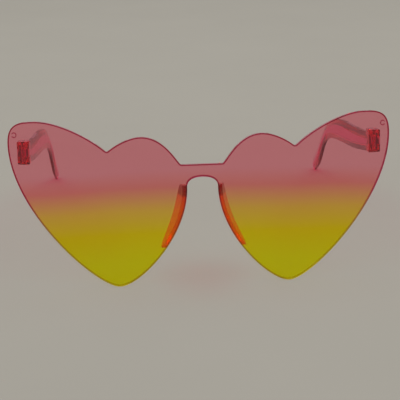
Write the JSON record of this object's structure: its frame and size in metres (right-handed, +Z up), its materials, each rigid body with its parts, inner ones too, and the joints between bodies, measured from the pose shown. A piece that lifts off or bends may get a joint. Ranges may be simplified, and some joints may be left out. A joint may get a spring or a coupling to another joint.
{
  "type": "heart shaped sunglasses",
  "caption": "Rimless sunglasses with a one-piece lens of joined hearts, bonded hinge blocks and nose pads, and clear plastic arms that fold on small screws.",
  "frame": {"origin": "centre of the part's footprint on the table, with the arms open and the part standing on the heart tips and the arm tips", "axes": "+Z up, the lens looks towards -Y, the arms point to +Y, +X is to the right of someone facing the lens; left and right in the names are as that person sees them"},
  "size_m": [0.15, 0.1598, 0.0648],
  "materials": {
    "lens_plastic": "clear polished plastic, tinted pink at the top fading to yellow below",
    "temple_plastic": "clear polished pink plastic",
    "hinge_plastic": "clear polished pink plastic",
    "pad_plastic": "clear polished pink plastic",
    "screw_steel": "dark plain steel"
  },
  "bodies": {
    "front": {"lens_shield": "lens_plastic", "left_hinge_block": "hinge_plastic", "right_hinge_block": "hinge_plastic", "left_hinge_screw": "screw_steel", "right_hinge_screw": "screw_steel", "left_nose_pad": "pad_plastic", "right_nose_pad": "pad_plastic"},
    "left_arm": {"left_temple": "temple_plastic"},
    "right_arm": {"right_temple": "temple_plastic"}
  },
  "joints": [
    {"name": "left_temple_hinge", "type": "hinge", "parent": "front", "child": "left_arm", "pos_m": [-0.069, -0.0608, 0.05161], "axis": [0, -0.1161, -0.9932], "range_deg": [0, 91]},
    {"name": "right_temple_hinge", "type": "hinge", "parent": "front", "child": "right_arm", "pos_m": [0.069, -0.0608, 0.05161], "axis": [0, 0.1161, 0.9932], "range_deg": [0, 87]}
  ]
}
